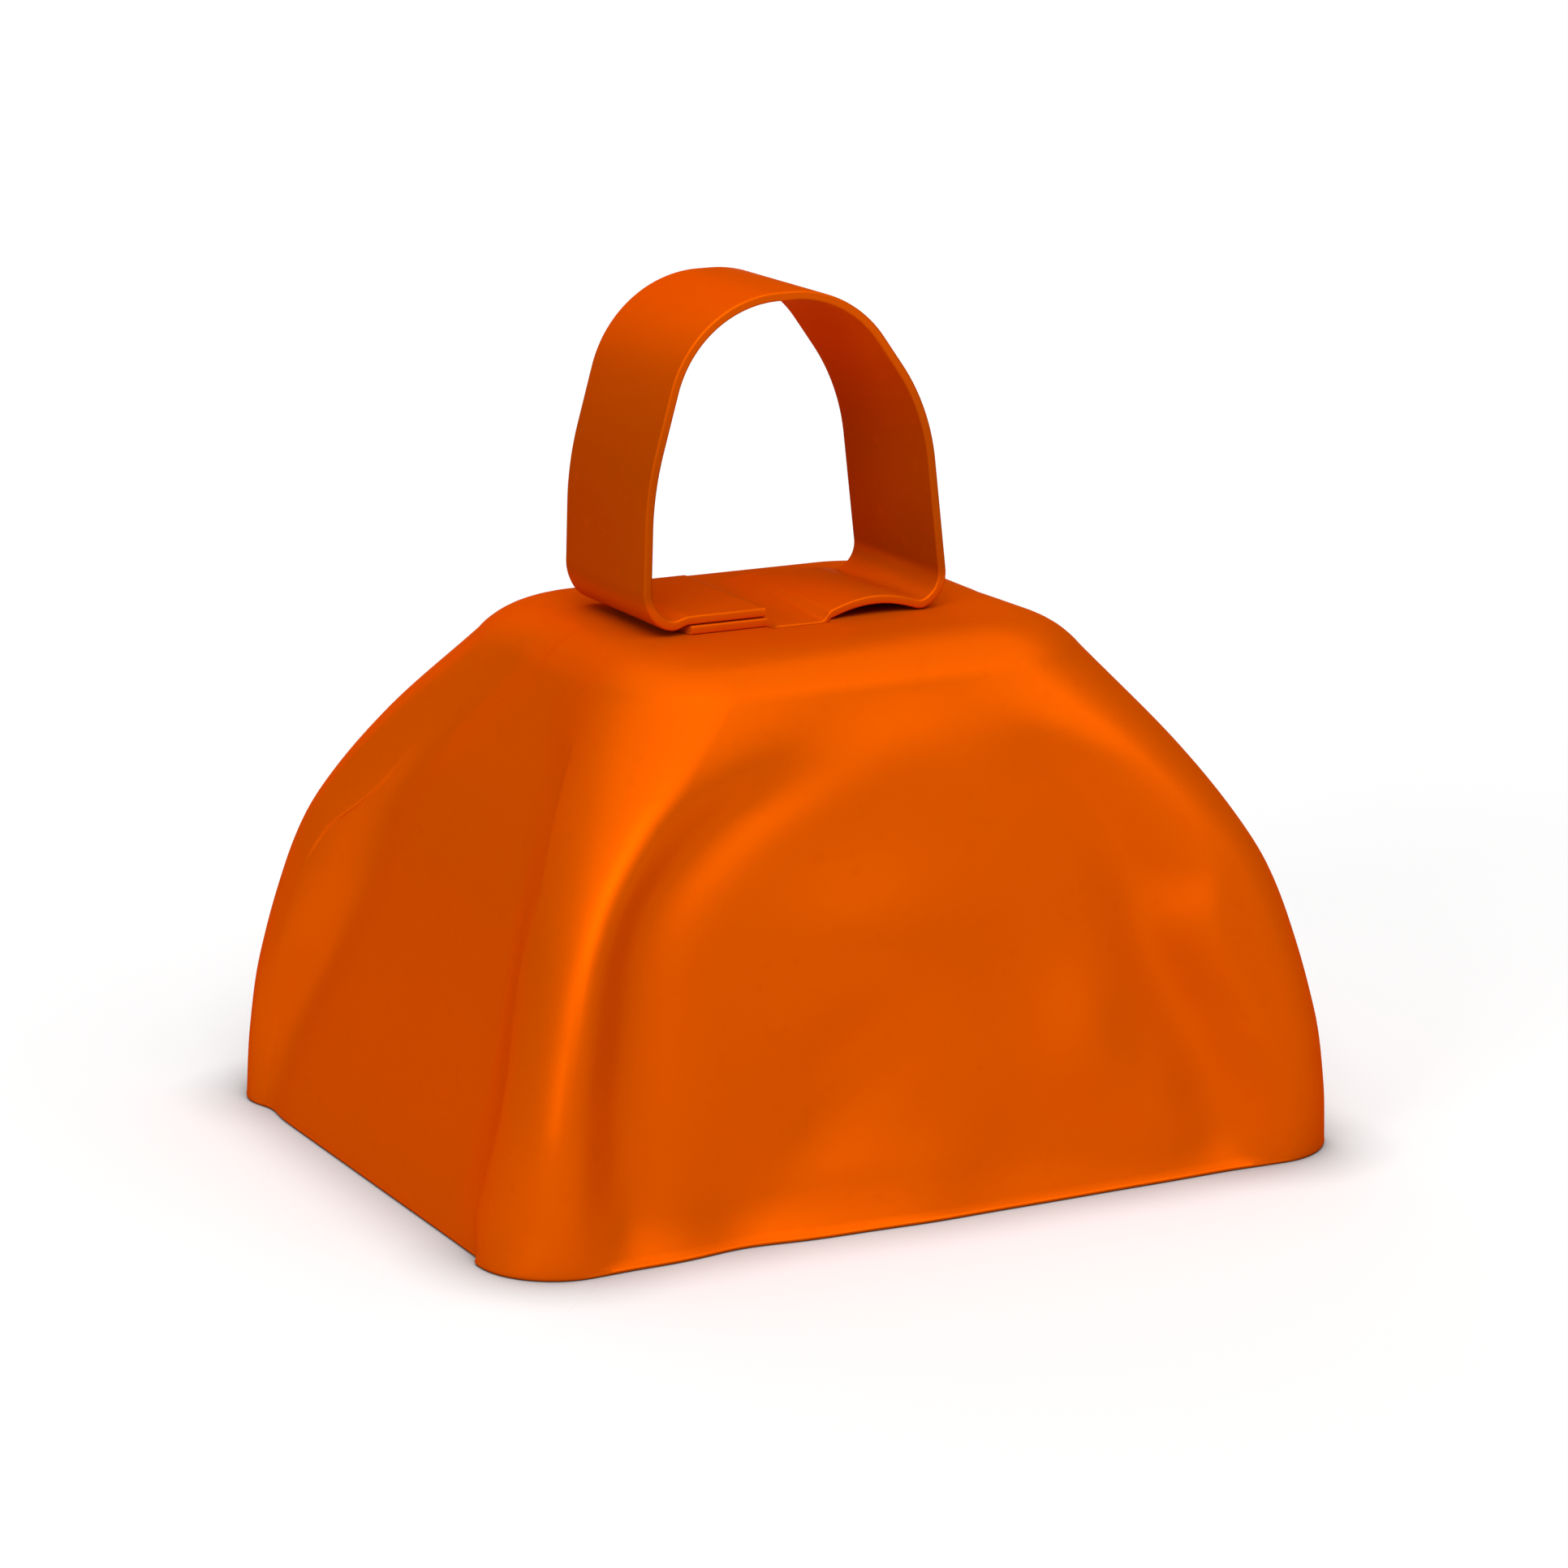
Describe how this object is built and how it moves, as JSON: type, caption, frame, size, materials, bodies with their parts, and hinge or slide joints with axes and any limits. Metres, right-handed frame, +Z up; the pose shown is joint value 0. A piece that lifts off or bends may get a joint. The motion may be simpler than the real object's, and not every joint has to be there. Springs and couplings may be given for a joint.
{
  "type": "hand cowbell",
  "caption": "Small painted sheet-steel cowbell with a bent strap handle on top and a ball clapper swinging on a wire link inside.",
  "frame": {"origin": "centre of the rim's plane, under the middle of the bell", "axes": "+X along the bell's long side, +Y across it through the broad panels, +Z up towards the handle"},
  "size_m": [0.0814, 0.0652, 0.0762],
  "materials": {
    "orange_enamel": "satin enamel over pressed sheet steel",
    "plated_wire": "zinc plated wire",
    "steel_ball": "plain tumbled steel"
  },
  "bodies": {
    "bell": {"bell_body": "orange_enamel", "handle_strap": "orange_enamel", "clapper_staple": "plated_wire"},
    "link": {"clapper_link": "plated_wire"},
    "clapper": {"clapper_rod": "plated_wire", "clapper_ball": "steel_ball"}
  },
  "joints": [
    {"name": "link_swing", "type": "hinge", "parent": "bell", "child": "link", "pos_m": [0, 0, 0.0412], "axis": [1, 0, 0], "range_deg": [-45, 45]},
    {"name": "clapper_swing", "type": "hinge", "parent": "link", "child": "clapper", "pos_m": [0, 0, 0.0347], "axis": [0, 1, 0], "range_deg": [-74, 74]}
  ]
}
